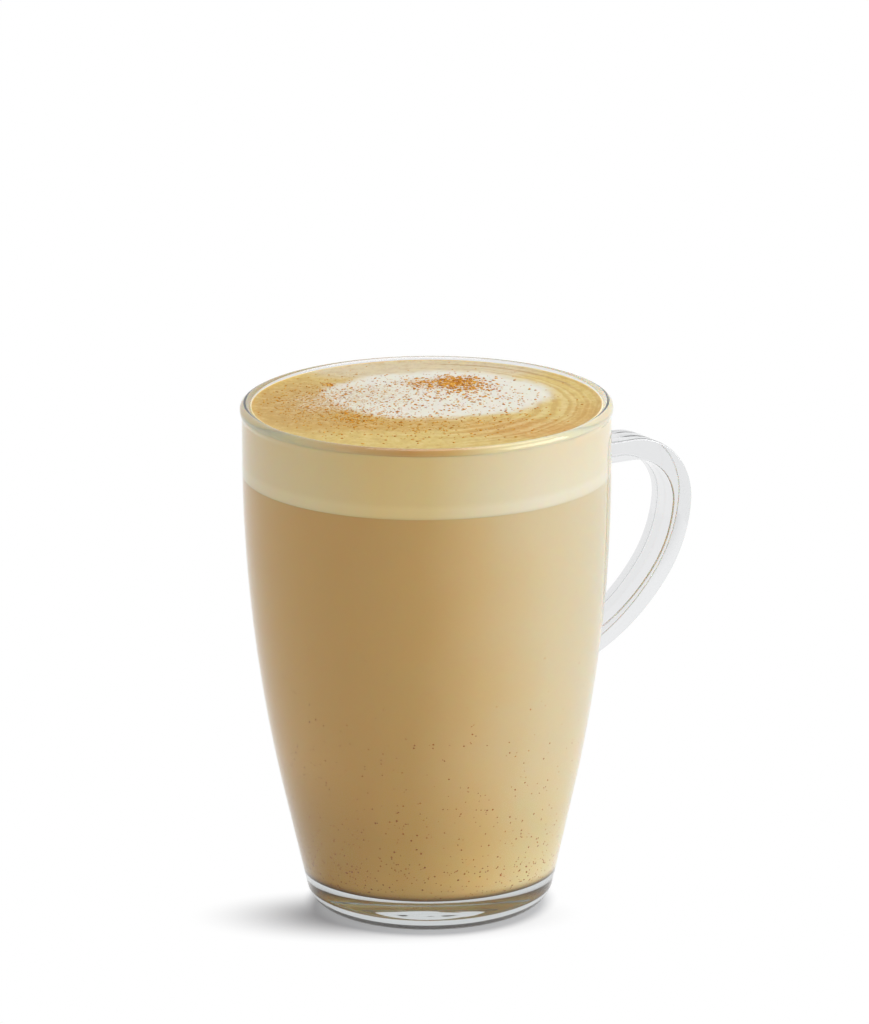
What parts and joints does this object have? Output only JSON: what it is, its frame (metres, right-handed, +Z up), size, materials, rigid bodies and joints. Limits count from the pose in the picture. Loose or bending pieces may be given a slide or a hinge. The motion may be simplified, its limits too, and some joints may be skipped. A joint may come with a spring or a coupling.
{
  "type": "pumpkin spice latte",
  "caption": "Tall tapered clear glass mug with a ribbon handle, filled with milky spiced coffee under a deep cap of foam, to stand on a table and lift by its handle.",
  "frame": {"origin": "on the mug's axis, on the surface that it stands on", "axes": "+Z up along the mug's axis, +X towards the handle, +Y across the handle, completing a right-handed frame"},
  "size_m": [0.1056, 0.0814, 0.1135],
  "materials": {
    "clear_glass": "fire-polished pressed soda-lime glass, clear and smooth",
    "spiced_latte": "opaque milky coffee, seen through the glass, with fine spice held in it",
    "milk_foam": "fine steamed milk foam, tinted with coffee and dusted with spice on top"
  },
  "bodies": {
    "root": {"glass_mug": "clear_glass", "latte": "spiced_latte", "milk_foam": "milk_foam"}
  },
  "joints": []
}
